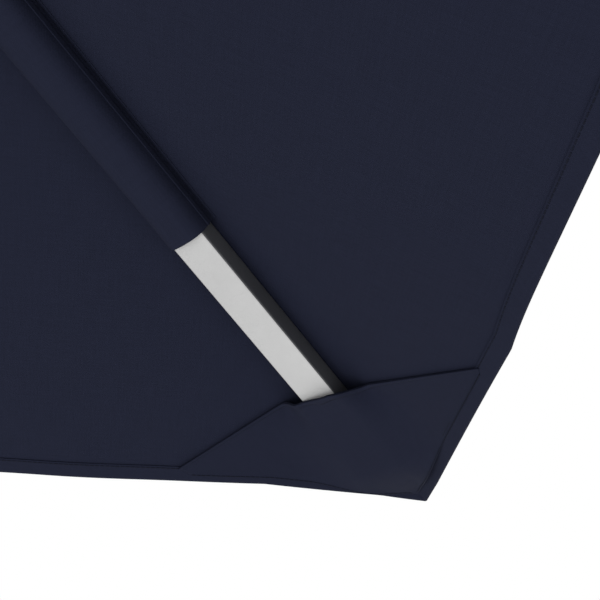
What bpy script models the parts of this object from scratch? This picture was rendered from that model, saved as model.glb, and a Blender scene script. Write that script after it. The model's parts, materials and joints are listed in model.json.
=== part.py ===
"""Square centre-pole patio umbrella with a crank lift and a round weighted base.

Metres, +Z up. The origin is the middle of the base's underside, on the ground.
The umbrella is modelled open. The crank faces -Y, and the ribs run to the four corners.
"""
from math import acos, atan2, cos, degrees, hypot, pi, radians, sin, sqrt

import bmesh
import bpy
from mathutils import Euler, Matrix, Vector

# ---------------------------------------------------------------- driving sizes
SIDES = 4                       # corners of the canopy, one rib to each
CORNER_RADIUS = 1.414           # pole axis to a canopy corner, a 2 m square
RIB_SLOPE = radians(20)         # open rib below the horizontal
RIB_CLOSED = radians(6)         # folded rib off the vertical
HUB_Z = 2.44                    # height of the rib pivots
PIVOT_R = 0.042                 # pole axis to the rib and runner pivots
GAP = 0.0003                    # clearance between touching pieces

RIB_W, RIB_H, RIB_WALL = 0.025, 0.015, 0.0014
RIB_SHORT = 0.060               # the rib's tube ends this far before the corner
STRUT_W, STRUT_H = 0.010, 0.014
STRUT_AT = 0.62                 # rib pivot to strut bracket, along the rib
SLOT_W = 0.0116                 # slots in the hub and the runner

POLE_R, POLE_WALL = 0.019, 0.0015
BASE_R, BASE_TOP = 0.25, 0.058
BASE_TUBE_TOP = 0.42
POLE_JOINT_Z = 0.70
CRANK_Z = 1.00
CRANK_ARM = 0.075

FABRIC = 0.0012
RIDGE = 0.0128                  # canopy underside above the rib's middle line
SAG = 0.030                     # how far the canopy's edge curves in between corners
POCKET_LEG = 0.167              # corner pocket's length along each edge
POCKET_MOUTH = 0.130            # corner to the pocket's mouth, along the rib
SLEEVE_FROM, SLEEVE_LONG = 0.263, 0.276   # corner to the sleeve's mouth, and its length

# ---------------------------------------------------------------- worked out
RIB_LONG = (CORNER_RADIUS - PIVOT_R) / cos(RIB_SLOPE)
LUG_DROP = RIB_H / 2 + GAP + 0.0016 + STRUT_H / 2 + 0.0004   # rib middle to strut pivot
LINK = hypot(STRUT_AT, LUG_DROP)                             # rib pivot to strut pivot
LINK_ANGLE = pi / 2 - RIB_SLOPE - atan2(LUG_DROP, STRUT_AT)  # that line off the vertical
RUNNER_Z = HUB_Z - 2 * LINK * cos(LINK_ANGLE)
FOLD = pi / 2 - RIB_SLOPE - RIB_CLOSED
TRAVEL = 2 * LINK * (cos(LINK_ANGLE - FOLD) - cos(LINK_ANGLE))


# ---------------------------------------------------------------- helpers
def clean_scene():
    for thing in list(bpy.data.objects):
        bpy.data.objects.remove(thing)


def material(name, colour, roughness, metallic=0.0):
    """A plain Principled material."""
    made = bpy.data.materials.new(name)
    made.use_nodes = True
    shader = made.node_tree.nodes["Principled BSDF"]
    shader.inputs["Base Color"].default_value = (*colour, 1)
    shader.inputs["Roughness"].default_value = roughness
    shader.inputs["Metallic"].default_value = metallic
    return made


def pivot(name, place, turn=(0, 0, 0)):
    """An empty on a joint's axis, which the pieces of one body hang from."""
    empty = bpy.data.objects.new(name, None)
    empty.location = place
    empty.rotation_euler = turn
    bpy.context.collection.objects.link(empty)
    return empty


def put(name, mesh, finish, parent=None, place=(0, 0, 0), turn=(0, 0, 0)):
    """One named piece."""
    piece = bpy.data.objects.new(name, mesh)
    piece.location = place
    piece.rotation_euler = turn
    piece.parent = parent
    if not mesh.materials:
        mesh.materials.append(finish)
    bpy.context.collection.objects.link(piece)
    return piece


def to_mesh(shape, name, smooth=None):
    bmesh.ops.recalc_face_normals(shape, faces=shape.faces)
    mesh = bpy.data.meshes.new(name)
    shape.to_mesh(mesh)
    shape.free()
    if smooth:
        mesh.shade_smooth()
        mesh.set_sharp_from_angle(angle=radians(smooth))
    return mesh


def turned(name, profile, around=32, closed=False):
    """A turned solid. The profile is (radius, height) points; a closed one makes a ring."""
    shape = bmesh.new()
    rings = []
    for radius, height in profile:
        if radius < 1e-6:
            rings.append([shape.verts.new((0, 0, height))])
        else:
            rings.append([
                shape.verts.new((radius * cos(2 * pi * i / around), radius * sin(2 * pi * i / around), height))
                for i in range(around)
            ])
    pairs = list(zip(rings, rings[1:]))
    if closed:
        pairs.append((rings[-1], rings[0]))
    for low, high in pairs:
        for i in range(around):
            j = (i + 1) % around
            corners = [low[i % len(low)], low[j % len(low)], high[j % len(high)], high[i % len(high)]]
            shape.faces.new(list(dict.fromkeys(corners)))
    return to_mesh(shape, name, smooth=35)


def tube(name, outer, inner, low, high, around=32):
    return turned(name, [(inner, low), (outer, low), (outer, high), (inner, high)], around, closed=True)


def block(name, low, high, bevel=0.0, steps=2):
    """A box between two corners, its edges rounded by bevel."""
    shape = bmesh.new()
    bmesh.ops.create_cube(shape, size=1)
    size = Vector(high) - Vector(low)
    middle = (Vector(high) + Vector(low)) / 2
    bmesh.ops.scale(shape, vec=size, verts=shape.verts)
    bmesh.ops.translate(shape, vec=middle, verts=shape.verts)
    if bevel:
        bmesh.ops.bevel(shape, geom=shape.edges, offset=bevel, segments=steps, affect="EDGES", profile=0.5)
    return to_mesh(shape, name, smooth=35)


def extruded(name, outline, low, high, axis="Y", smooth=35):
    """A flat outline pushed along an axis. The outline is (x, z) for Y, (y, z) for X, (x, y) for Z."""
    lay = {
        "X": lambda a, b, depth: (depth, a, b),
        "Y": lambda a, b, depth: (a, depth, b),
        "Z": lambda a, b, depth: (a, b, depth),
    }[axis]
    shape = bmesh.new()
    near = [shape.verts.new(lay(a, b, low)) for a, b in outline]
    far = [shape.verts.new(lay(a, b, high)) for a, b in outline]
    shape.faces.new(near)
    shape.faces.new(far)
    for i in range(len(outline)):
        j = (i + 1) % len(outline)
        shape.faces.new([near[i], near[j], far[j], far[i]])
    return to_mesh(shape, name, smooth)


def arc(centre, radius, start, end, steps):
    """Points on an arc, angles in degrees."""
    return [
        (centre[0] + radius * cos(radians(start + (end - start) * i / steps)),
         centre[1] + radius * sin(radians(start + (end - start) * i / steps)))
        for i in range(steps + 1)
    ]


def slot_outline(length, radius, steps=8):
    """A bar with round ends, from the origin to (length, 0)."""
    return arc((0, 0), radius, 90, 270, steps) + arc((length, 0), radius, -90, 90, steps)


def rod(name, radius, start, end, around=20):
    """A plain round bar between two points."""
    start, end = Vector(start), Vector(end)
    mesh = turned(name, [(0, 0), (radius, 0), (radius, (end - start).length), (0, (end - start).length)], around)
    mesh.transform(Matrix.Translation(start) @ (end - start).to_track_quat("Z", "Y").to_matrix().to_4x4())
    return mesh


def carved(name, mesh, cuts=(), joins=()):
    """Mesh with others joined to it and then cut from it."""
    body = bpy.data.objects.new(name, mesh)
    bpy.context.collection.objects.link(body)
    tools = []
    for operation, meshes in (("UNION", joins), ("DIFFERENCE", cuts)):
        for tool_mesh in meshes:
            tool = bpy.data.objects.new(name + "_tool", tool_mesh)
            bpy.context.collection.objects.link(tool)
            tools.append(tool)
            step = body.modifiers.new(operation, "BOOLEAN")
            step.operation = operation
            step.solver = "EXACT"
            step.object = tool
    bpy.context.view_layer.update()
    seen = body.evaluated_get(bpy.context.evaluated_depsgraph_get())
    result = bpy.data.meshes.new_from_object(seen)
    result.name = name
    for thing in tools + [body]:
        bpy.data.objects.remove(thing)
    result.materials.clear()
    return result


def turned_about(mesh, turn):
    """The mesh, rotated about the origin by an Euler turn."""
    mesh.transform(Euler(turn).to_matrix().to_4x4())
    return mesh


# ---------------------------------------------------------------- finishes
def finishes():
    return {
        "rib_paint": material("rib_paint", (0.42, 0.42, 0.43), 0.35, 0.6),
        "frame_paint": material("frame_paint", (0.035, 0.035, 0.04), 0.4, 0.4),
        "plastic": material("plastic", (0.02, 0.02, 0.022), 0.5),
        "steel": material("steel", (0.55, 0.55, 0.56), 0.3, 1.0),
        "fabric": material("fabric", (0.017, 0.019, 0.035), 0.9),
        "cast_base": material("cast_base", (0.03, 0.03, 0.033), 0.6),
        "rubber": material("rubber", (0.015, 0.015, 0.015), 0.8),
    }


# ---------------------------------------------------------------- base
def make_base(look):
    """Weight, foot pad, bolted tube with its clamp knob, and the bush in the tube's mouth."""
    put("base_foot_pad", turned("base_foot_pad", [(0, 0), (BASE_R - 0.017, 0), (BASE_R - 0.015, 0.003), (0, 0.003)], 48),
        look["rubber"])

    low = 0.003 + GAP
    rim = arc((BASE_R - 0.012, low + 0.012), 0.012, -90, 45, 4)
    weight = turned("base_weight", [(0, low)] + rim + [
        (BASE_R - 0.05, 0.036), (BASE_R - 0.10, 0.047), (0.085, 0.053), (0.068, BASE_TOP), (0, BASE_TOP)], 48)
    bolt_circle, bolts = 0.045, 3
    spots = [(bolt_circle * cos(2 * pi * i / bolts), bolt_circle * sin(2 * pi * i / bolts)) for i in range(bolts)]
    holes = [rod("hole", 0.0043, (x, y, BASE_TOP - 0.03), (x, y, BASE_TOP + 0.02)) for x, y in spots]
    put("base_weight", carved("base_weight", weight, cuts=holes), look["cast_base"])

    flange_low = BASE_TOP + GAP
    flange_top = flange_low + 0.005
    flange = tube("base_flange", 0.060, 0.0273, flange_low, flange_top, 40)
    holes = [rod("hole", 0.0043, (x, y, flange_low - 0.01), (x, y, flange_top + 0.01)) for x, y in spots]
    put("base_flange", carved("base_flange", flange, cuts=holes), look["frame_paint"])
    for number, (x, y) in enumerate(spots, 1):
        head_low = flange_top + GAP
        bolt = turned("base_bolt", [
            (0, BASE_TOP - 0.028), (0.004, BASE_TOP - 0.028), (0.004, head_low), (0.0068, head_low),
            (0.0068, head_low + 0.004), (0.0055, head_low + 0.0052), (0, head_low + 0.0052)], 18)
        put(f"base_bolt_{number}", bolt, look["steel"], place=(x, y, 0))

    stem_z, boss_end = 0.34, 0.041
    column = tube("base_tube", 0.027, 0.0245, flange_low, BASE_TUBE_TOP, 40)
    boss = rod("boss", 0.011, (0.0255, 0, stem_z), (boss_end, 0, stem_z))
    bore = rod("bore", 0.0054, (0.0150, 0, stem_z), (boss_end + 0.01, 0, stem_z))
    put("base_tube", carved("base_tube", column, joins=[boss], cuts=[bore]), look["frame_paint"])

    bush = turned("pole_bush", [
        (POLE_R + GAP, BASE_TUBE_TOP - 0.045), (0.0242, BASE_TUBE_TOP - 0.045), (0.0242, BASE_TUBE_TOP + GAP),
        (0.029, BASE_TUBE_TOP + GAP), (0.029, BASE_TUBE_TOP + 0.006), (0.024, BASE_TUBE_TOP + 0.012),
        (POLE_R + GAP, BASE_TUBE_TOP + 0.012)], 36, closed=True)
    put("pole_bush", bush, look["plastic"])

    lobes, knob_r = 5, 0.023
    outline = []
    for i in range(lobes * 8):
        angle = 2 * pi * i / (lobes * 8)
        radius = knob_r + 0.0028 * cos(lobes * angle)
        outline.append((radius * cos(angle), radius * sin(angle)))
    grip = extruded("base_clamp_knob", outline, 0.046, 0.064, axis="X")
    neck = rod("neck", 0.010, (boss_end + 0.0008, 0, 0), (0.050, 0, 0))
    stem = rod("stem", 0.0050, (POLE_R + 0.0008, 0, 0), (0.050, 0, 0))
    put("base_clamp_knob", carved("base_clamp_knob", grip, joins=[neck, stem]), look["plastic"],
        place=(0, 0, stem_z))


# ---------------------------------------------------------------- pole
def make_pole(look):
    """Two tubes, the collar over their joint, and the cord pulley in the pole's top."""
    inner = POLE_R - POLE_WALL
    put("lower_pole", tube("lower_pole", POLE_R, inner, BASE_TOP + 2 * GAP, POLE_JOINT_Z), look["frame_paint"])
    pole_top = HUB_Z - 0.008
    upper = tube("upper_pole", POLE_R, inner, POLE_JOINT_Z + GAP, pole_top)
    axle_hole = rod("hole", 0.0056, (0, -0.03, CRANK_Z), (0, 0.03, CRANK_Z))
    pulley_z = HUB_Z - 0.028
    pin_hole = rod("hole", 0.0024, (-0.03, 0, pulley_z), (0.03, 0, pulley_z), 12)
    put("upper_pole", carved("upper_pole", upper, cuts=[axle_hole, pin_hole]), look["frame_paint"])
    collar = turned("pole_collar", [
        (POLE_R + GAP, POLE_JOINT_Z - 0.04), (0.0208, POLE_JOINT_Z - 0.04), (0.0218, POLE_JOINT_Z - 0.038),
        (0.0218, POLE_JOINT_Z + 0.038), (0.0208, POLE_JOINT_Z + 0.04), (POLE_R + GAP, POLE_JOINT_Z + 0.04)],
        36, closed=True)
    put("pole_collar", collar, look["plastic"])

    put("pulley_pin", rod("pulley_pin", 0.002, (-POLE_R, 0, pulley_z), (POLE_R, 0, pulley_z), 12), look["steel"])
    half, groove = 0.004, 0.009
    pulley = turned("top_pulley", [
        (0.0024, -half), (0.012, -half), (0.012, -half + 0.0012), (groove, 0), (0.012, half - 0.0012),
        (0.012, half), (0.0024, half)], 28, closed=True)
    put("top_pulley", turned_about(pulley, (0, pi / 2, 0)), look["plastic"], place=(0, 0, pulley_z))


# ---------------------------------------------------------------- crank
def make_crank(look):
    """Split housing round the pole, and the axle, drum, arm and knob that turn in it."""
    wide, front, rear, tall = 0.034, -0.042, 0.036, 0.062
    skin = 0.0035
    screws = [(0.0255, 0.045), (-0.0255, -0.045)]
    full = block("housing", (-wide, front, -tall), (wide, rear, tall), bevel=0.009, steps=3)
    for name, low_y, high_y in (("crank_housing_front", front - 0.01, -GAP), ("crank_housing_rear", GAP, rear + 0.01)):
        hollow_low = max(low_y, front + skin)
        hollow_high = min(high_y, rear - skin)
        keep_out = block("half", (-0.1, high_y if high_y < 0.01 else -0.1, -0.1),
                         (0.1, 0.1 if high_y < 0.01 else low_y, 0.1))
        hollow_end = 0.01 if high_y < 0.01 else hollow_high
        hollow_start = hollow_low if high_y < 0.01 else -0.01
        hollow = block("hollow", (-wide + skin, hollow_start, -tall + skin), (wide - skin, hollow_end, tall - skin))
        shell = carved(name, full.copy(), cuts=[keep_out, hollow])
        wall = front + 0.0015 if high_y < 0.01 else rear - 0.0015
        face = high_y if high_y < 0.01 else low_y
        bosses = [rod("boss", 0.0045, (x, face, z), (x, wall, z), 16) for x, z in screws]
        cuts = [rod("pole", POLE_R + GAP, (0, 0, -0.1), (0, 0, 0.1), 32)]
        if high_y < 0.01:
            cuts += [rod("bore", 0.0024, (x, front + 0.008, z), (x, 0.01, z), 12) for x, z in screws]
            cuts += [rod("axle", 0.0056, (0, -0.1, 0), (0, 0, 0))]
        else:
            cuts += [rod("bore", 0.0024, (x, -0.01, z), (x, 0.1, z), 12) for x, z in screws]
            cuts += [rod("head", 0.0043, (x, rear - 0.0052, z), (x, 0.1, z), 14) for x, z in screws]
        shell = carved(name, shell, joins=bosses)
        put(name, carved(name, shell, cuts=cuts), look["plastic"], place=(0, 0, CRANK_Z))
    bpy.data.meshes.remove(full)
    for number, (x, z) in enumerate(screws, 1):
        screw = turned("housing_screw", [
            (0, -0.030), (0.0021, -0.030), (0.0021, rear - 0.0049), (0.0038, rear - 0.0049),
            (0.0038, rear - 0.003), (0.0026, rear - 0.0022), (0, rear - 0.0022)], 14)
        put(f"housing_screw_{number}", turned_about(screw, (-pi / 2, 0, 0)), look["steel"],
            place=(x, 0, CRANK_Z + z))

    crank = pivot("crank_axis", (0, 0, CRANK_Z), (pi / 2, 0, 0))   # local Z points out to -Y
    put("crank_axle", turned("crank_axle", [
        (0, -0.029), (0.0050, -0.029), (0.0050, 0.0595), (0.0044, 0.0605), (0, 0.0605)], 20), look["steel"], crank)
    drum = turned("cord_drum", [
        (0.0054, -0.0095), (0.0125, -0.0095), (0.0125, -0.0078), (0.0085, -0.0078), (0.0085, 0.0078),
        (0.0125, 0.0078), (0.0125, 0.0095), (0.0054, 0.0095)], 24, closed=True)
    put("cord_drum", drum, look["plastic"], crank)

    hub_r, end_r = 0.013, 0.0095
    lean = degrees(acos((hub_r - end_r) / CRANK_ARM))
    outline = arc((0, 0), hub_r, -90 + lean, 270 - lean, 14)
    outline += arc((0, -CRANK_ARM), end_r, 270 - lean, 270 + lean, 10)
    arm = extruded("crank_arm", outline, 0.0475, 0.0545, axis="Z")
    boss = rod("boss", 0.0115, (0, 0, 0.0425), (0, 0, 0.050), 24)
    arm = carved("crank_arm", arm, joins=[boss], cuts=[
        rod("bore", 0.0053, (0, 0, 0.03), (0, 0, 0.08)),
        rod("bore", 0.0033, (0, -CRANK_ARM, 0.03), (0, -CRANK_ARM, 0.08), 16)])
    put("crank_arm", arm, look["plastic"], crank)
    rivet = turned("crank_knob_rivet", [
        (0, 0.0450), (0.0062, 0.0450), (0.0062, 0.0472), (0.0030, 0.0472), (0.0030, 0.0945),
        (0.0055, 0.0945), (0.0050, 0.0965), (0, 0.0970)], 18)
    put("crank_knob_rivet", rivet, look["steel"], crank, place=(0, -CRANK_ARM, 0))
    knob = turned("crank_knob", [
        (0.0034, 0.0552), (0.0085, 0.0552), (0.0100, 0.0570), (0.0105, 0.0650), (0.0125, 0.0800),
        (0.0122, 0.0900), (0.0095, 0.0965), (0.0066, 0.0972), (0.0066, 0.0938), (0.0034, 0.0938)], 28, closed=True)
    put("crank_knob", knob, look["plastic"], crank, place=(0, -CRANK_ARM, 0))


# ---------------------------------------------------------------- hub and runner
def corner_angles():
    return [pi / SIDES + 2 * pi * i / SIDES for i in range(SIDES)]


def slots(low, high):
    """Cutters for the slots that the ribs or struts swing in."""
    made = []
    for angle in corner_angles():
        cutter = block("slot", (0.0345, -SLOT_W / 2, low), (0.075, SLOT_W / 2, high))
        made.append(turned_about(cutter, (0, 0, angle)))
    return made


def make_top(look):
    """Slotted hub with its pivot wire, then the crown patch, cap and finial above it."""
    z = HUB_Z
    hub = turned("top_hub", [
        (POLE_R + GAP, z - 0.045), (0.027, z - 0.045), (0.029, z - 0.043), (0.030, z - 0.011),
        (0.0525, z - 0.011), (0.0525, z + 0.011), (0.0042, z + 0.011), (0.0042, z - 0.0075),
        (POLE_R + GAP, z - 0.0075)], 48, closed=True)
    groove = tube("groove", PIVOT_R + 0.0024, PIVOT_R - 0.0024, z - 0.0024, z + 0.03, 60)
    put("top_hub", carved("top_hub", hub, cuts=slots(z - 0.02, z + 0.02) + [groove]), look["plastic"])
    wire = [(PIVOT_R + a, z + b) for a, b in arc((0, 0), 0.0020, 0, 315, 7)]
    put("hub_pivot_wire", turned("hub_pivot_wire", wire, 60, closed=True), look["steel"])

    top = z + 0.011 + GAP
    patch = turned("crown_patch", [
        (0.0045, top), (0.060, top), (0.085, top - 0.012), (0.085, top - 0.012 + FABRIC), (0.060, top + FABRIC),
        (0.0045, top + FABRIC)], 32, closed=True)
    put("crown_patch", patch, look["fabric"])
    low = top + FABRIC + GAP
    cap = turned("crown_cap", [
        (0.0045, low), (0.050, low), (0.052, low + 0.002), (0.050, low + 0.005), (0.034, low + 0.011),
        (0.020, low + 0.014), (0.0045, low + 0.014)], 40, closed=True)
    put("crown_cap", cap, look["plastic"])
    low += 0.014 + GAP
    finial = turned("finial", [
        (0, z - 0.004), (0.0039, z - 0.004), (0.0039, low), (0.015, low), (0.016, low + 0.004), (0.010, low + 0.010),
        (0.0085, low + 0.018), (0.015, low + 0.027), (0.018, low + 0.038), (0.0155, low + 0.049),
        (0.008, low + 0.060), (0.003, low + 0.066), (0, low + 0.067)], 28)
    put("finial", finial, look["plastic"])


def make_runner(look):
    """Collar that slides on the pole and carries the struts' lower ends in open slots."""
    outline = [
        (POLE_R + GAP, -0.055), (0.0270, -0.055), (0.0290, -0.053), (0.0290, -0.011), (0.0525, -0.011),
        (0.0525, 0.011), (0.0290, 0.011), (0.0275, 0.026), (POLE_R + GAP, 0.026)]
    runner = turned("runner", outline, 48, closed=True)
    put("runner", carved("runner", runner, cuts=slots(-0.02, 0.0108 + 0.001)), look["plastic"],
        place=(0, 0, RUNNER_Z))


# ---------------------------------------------------------------- ribs, struts and fabric
def edge_direction(side):
    """Canopy edge leaving a corner, in the rib's frame. side is 1 or -1."""
    turn = pi / SIDES
    flat = Vector((-sin(turn), side * cos(turn), 0))
    return Vector((flat.x * cos(RIB_SLOPE), flat.y, flat.x * sin(RIB_SLOPE)))


def half_width(along):
    """Length of the canopy's level line from the rib to the middle of a side."""
    out = PIVOT_R + along * cos(RIB_SLOPE) + RIDGE * sin(RIB_SLOPE)
    return out * sin(pi / SIDES)


def canopy_quarter():
    """The canopy's quarter around one rib: two flat wings that meet over the rib."""
    steps, inner = 8, 0.048
    shape = bmesh.new()
    layers = []
    for lift in (0, FABRIC):
        rows = []
        for start in (True, False):
            row = []
            for i in range(-steps, steps + 1):
                share = abs(i) / steps
                along = inner if start else RIB_LONG - SAG * (1 - (1 - share) ** 2)
                wide = half_width(along) - GAP
                spot = Vector((along, 0, RIDGE + lift)) + edge_direction(1 if i > 0 else -1) * wide * share
                row.append(shape.verts.new(spot))
            rows.append(row)
        layers.append(rows)
    (low_in, low_out), (high_in, high_out) = layers
    for i in range(2 * steps):
        shape.faces.new([low_in[i], low_in[i + 1], low_out[i + 1], low_out[i]])
        shape.faces.new([high_in[i], high_in[i + 1], high_out[i + 1], high_out[i]])
        shape.faces.new([low_in[i], low_in[i + 1], high_in[i + 1], high_in[i]])
        shape.faces.new([low_out[i], low_out[i + 1], high_out[i + 1], high_out[i]])
    for end in (0, -1):
        shape.faces.new([low_in[end], low_out[end], high_out[end], high_in[end]])
    return to_mesh(shape, "canopy_quarter")


def pocket():
    """Triangular pocket sewn under the corner, raised in the middle to take the rib's end."""
    under = RIDGE - 0.0010 - FABRIC
    floor = -RIB_H / 2 - 0.0006 - FABRIC
    half = RIB_W / 2 + 0.0015
    tip = Vector((RIB_LONG - 0.006, 0, under))
    mouth = RIB_LONG - POCKET_MOUTH
    toe = RIB_LONG - RIB_SHORT + 0.008
    right = Vector((RIB_LONG, 0, under)) + edge_direction(1) * POCKET_LEG
    left = Vector((RIB_LONG, 0, under)) + edge_direction(-1) * POCKET_LEG
    spots = [tip, right, Vector((mouth, half, floor)), Vector((mouth, -half, floor)), left,
             Vector((toe, half * 0.9, floor)), Vector((toe, -half * 0.9, floor))]
    faces = [(0, 1, 5), (1, 2, 5), (2, 3, 6, 5), (3, 4, 6), (4, 0, 6), (0, 5, 6)]
    rim = [0, 1, 2, 3, 4]
    shape = bmesh.new()
    low = [shape.verts.new(spot) for spot in spots]
    high = [shape.verts.new(spot + Vector((0, 0, FABRIC * 0.8))) for spot in spots]
    for face in faces:
        shape.faces.new([low[i] for i in face])
        shape.faces.new([high[i] for i in face])
    for a, b in zip(rim, rim[1:] + rim[:1]):
        shape.faces.new([low[a], low[b], high[b], high[a]])
    return to_mesh(shape, "corner_pocket")


def sleeve():
    """Fabric tunnel sewn under the canopy, which the rib runs through."""
    drop, top = RIB_H / 2 + 0.0006, RIB_H / 2 - 0.0005
    start = RIB_LONG - SLEEVE_FROM - SLEEVE_LONG
    layers = []
    for half, depth, cut in ((RIB_W / 2 + 0.0006 + FABRIC, drop + FABRIC, 0.003), (RIB_W / 2 + 0.0006, drop, 0.002)):
        layers.append([(-half, top), (-half, cut - depth), (cut - half, -depth),
                       (half - cut, -depth), (half, cut - depth), (half, top)])
    shape = bmesh.new()
    (outer_a, inner_a), (outer_b, inner_b) = [
        [[shape.verts.new((along, y, z)) for y, z in layer] for layer in layers]
        for along in (start, start + SLEEVE_LONG)
    ]
    for i in range(len(outer_a) - 1):
        shape.faces.new([outer_a[i], outer_a[i + 1], outer_b[i + 1], outer_b[i]])
        shape.faces.new([inner_a[i], inner_a[i + 1], inner_b[i + 1], inner_b[i]])
        for outer, inner in ((outer_a, inner_a), (outer_b, inner_b)):
            shape.faces.new([outer[i], outer[i + 1], inner[i + 1], inner[i]])
    for i in (0, -1):
        shape.faces.new([outer_a[i], outer_b[i], inner_b[i], inner_a[i]])
    return to_mesh(shape, "rib_sleeve")


def rib():
    """Rectangular tube with a flat hinge end fixed in it."""
    start, end = 0.030, RIB_LONG - RIB_SHORT
    bar = block("rib", (start, -RIB_W / 2, -RIB_H / 2), (end, RIB_W / 2, RIB_H / 2), bevel=0.0018, steps=2)
    bore = block("bore", (start + 0.012, -RIB_W / 2 + RIB_WALL, -RIB_H / 2 + RIB_WALL),
                 (end + 0.01, RIB_W / 2 - RIB_WALL, RIB_H / 2 - RIB_WALL))
    hollow = carved("rib", bar, cuts=[bore])
    blade = extruded("blade", slot_outline(0.036, 0.0068), -0.005, 0.005)
    eye = rod("eye", 0.0029, (0, -0.02, 0), (0, 0.02, 0), 20)
    return carved("rib", carved("rib", hollow, joins=[blade]), cuts=[eye])


def rib_end_plug():
    """Moulded plug pushed into the rib's outer end."""
    end = RIB_LONG - RIB_SHORT
    inside_w, inside_h = RIB_W / 2 - RIB_WALL - GAP, RIB_H / 2 - RIB_WALL - GAP
    head = block("rib_end_plug", (end + GAP, -RIB_W / 2, -RIB_H / 2), (end + 0.005, RIB_W / 2, RIB_H / 2), 0.0015)
    shank = block("shank", (end - 0.022, -inside_w, -inside_h), (end + 0.002, inside_w, inside_h))
    return carved("rib_end_plug", head, joins=[shank])


def strut_bracket():
    """Saddle riveted under the rib, with two lugs and the pin across them."""
    top = -RIB_H / 2 - GAP
    plate_thick, lug_thick = 0.0016, 0.0022
    inside = STRUT_W / 2 + 0.0006
    plate = block("strut_bracket", (-0.024, -RIB_W / 2 + 0.001, top - plate_thick), (0.024, RIB_W / 2 - 0.001, top))
    lugs = []
    for side in (1, -1):
        low, high = sorted((side * inside, side * (inside + lug_thick)))
        outline = [(0.012, top - 0.0005), (0.007, -LUG_DROP)] + arc((0, -LUG_DROP), 0.007, -20, -160, 6)
        outline += [(-0.007, -LUG_DROP), (-0.012, top - 0.0005)]
        lugs.append(extruded("lug", outline, low, high))
    reach = inside + lug_thick + 0.0016
    pin = rod("pin", 0.0025, (0, -reach, -LUG_DROP), (0, reach, -LUG_DROP), 16)
    return carved("strut_bracket", plate, joins=lugs + [pin])


def strut():
    """Bar from the bracket's pin, at its origin, down to the runner, with a stub pin at that end."""
    bar = extruded("strut", slot_outline(LINK, STRUT_H / 2), -STRUT_W / 2, STRUT_W / 2)
    eye = rod("eye", 0.0029, (0, -0.02, 0), (0, 0.02, 0), 20)
    stub = rod("stub", 0.0022, (LINK, -SLOT_W / 2 + GAP, 0), (LINK, SLOT_W / 2 - GAP, 0), 16)
    return carved("strut", carved("strut", bar, cuts=[eye]), joins=[stub])


def make_arms(look):
    """One rib with its fabric and one strut for each corner."""
    shapes = {
        "rib": (rib(), "rib_paint"),
        "rib_end_plug": (rib_end_plug(), "plastic"),
        "canopy_quarter": (canopy_quarter(), "fabric"),
        "corner_pocket": (pocket(), "fabric"),
        "rib_sleeve": (sleeve(), "fabric"),
    }
    bracket, bar = strut_bracket(), strut()
    for number, angle in enumerate(corner_angles(), 1):
        outward = Vector((cos(angle), sin(angle), 0))
        rib_axis = pivot(f"rib_axis_{number}", outward * PIVOT_R + Vector((0, 0, HUB_Z)), (0, RIB_SLOPE, angle))
        for name, (mesh, finish) in shapes.items():
            put(f"{name}_{number}", mesh, look[finish], rib_axis)
        put(f"strut_bracket_{number}", bracket, look["frame_paint"], rib_axis, place=(STRUT_AT, 0, 0))
        far = PIVOT_R + LINK * sin(LINK_ANGLE)
        hinge = outward * far + Vector((0, 0, HUB_Z - LINK * cos(LINK_ANGLE)))
        strut_axis = pivot(f"strut_axis_{number}", hinge, (0, pi / 2 + LINK_ANGLE, angle))
        put(f"strut_{number}", bar, look["frame_paint"], strut_axis)


clean_scene()
paint = finishes()
make_base(paint)
make_pole(paint)
make_crank(paint)
make_top(paint)
make_runner(paint)
make_arms(paint)
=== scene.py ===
"""Square patio umbrella with a crank lift and a round base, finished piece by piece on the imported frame."""
import json
from math import copysign, cos, exp, hypot, pi, radians, sin

import bmesh
import bpy
from mathutils import Matrix, Vector, noise


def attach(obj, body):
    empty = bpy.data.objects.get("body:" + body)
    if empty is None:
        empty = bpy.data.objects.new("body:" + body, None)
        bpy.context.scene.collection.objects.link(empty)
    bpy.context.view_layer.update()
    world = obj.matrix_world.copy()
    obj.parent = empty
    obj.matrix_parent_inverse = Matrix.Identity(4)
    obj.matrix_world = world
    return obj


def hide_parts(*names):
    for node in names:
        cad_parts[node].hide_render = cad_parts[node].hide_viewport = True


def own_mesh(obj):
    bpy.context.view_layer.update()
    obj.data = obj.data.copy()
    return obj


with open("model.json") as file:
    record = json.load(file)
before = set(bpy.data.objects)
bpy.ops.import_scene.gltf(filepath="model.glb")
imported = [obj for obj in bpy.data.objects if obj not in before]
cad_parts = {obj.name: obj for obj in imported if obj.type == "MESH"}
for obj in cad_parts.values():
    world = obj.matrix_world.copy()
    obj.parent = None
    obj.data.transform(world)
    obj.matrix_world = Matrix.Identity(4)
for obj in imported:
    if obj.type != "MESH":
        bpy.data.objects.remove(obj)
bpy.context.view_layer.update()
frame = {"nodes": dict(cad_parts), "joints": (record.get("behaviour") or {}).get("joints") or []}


# ------------------------------------------------------------------ where the ribs lie
# Four ribs run from the hub to the canopy's corners, sloping down. Every piece of the canopy is laid
# out in its rib's own frame: x along the rib from its pivot, y across it, z square off its top face.
RIBS = range(1, 5)
RIB_SLOPE = radians(20)
CORNER_RADIUS = 1.414


def rib_joint(number):
    return next(joint for joint in frame["joints"] if joint["name"] == f"rib_fold_{number}")


def rib_frame(number):
    joint = rib_joint(number)
    across = Vector(joint["axis"])
    out = across.cross(Vector((0, 0, 1)))
    along = out * cos(RIB_SLOPE) - Vector((0, 0, sin(RIB_SLOPE)))
    square = along.cross(across)
    turn = Matrix((along, across, square)).transposed().to_4x4()
    return Matrix.Translation(joint["pos_m"]) @ turn


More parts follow.
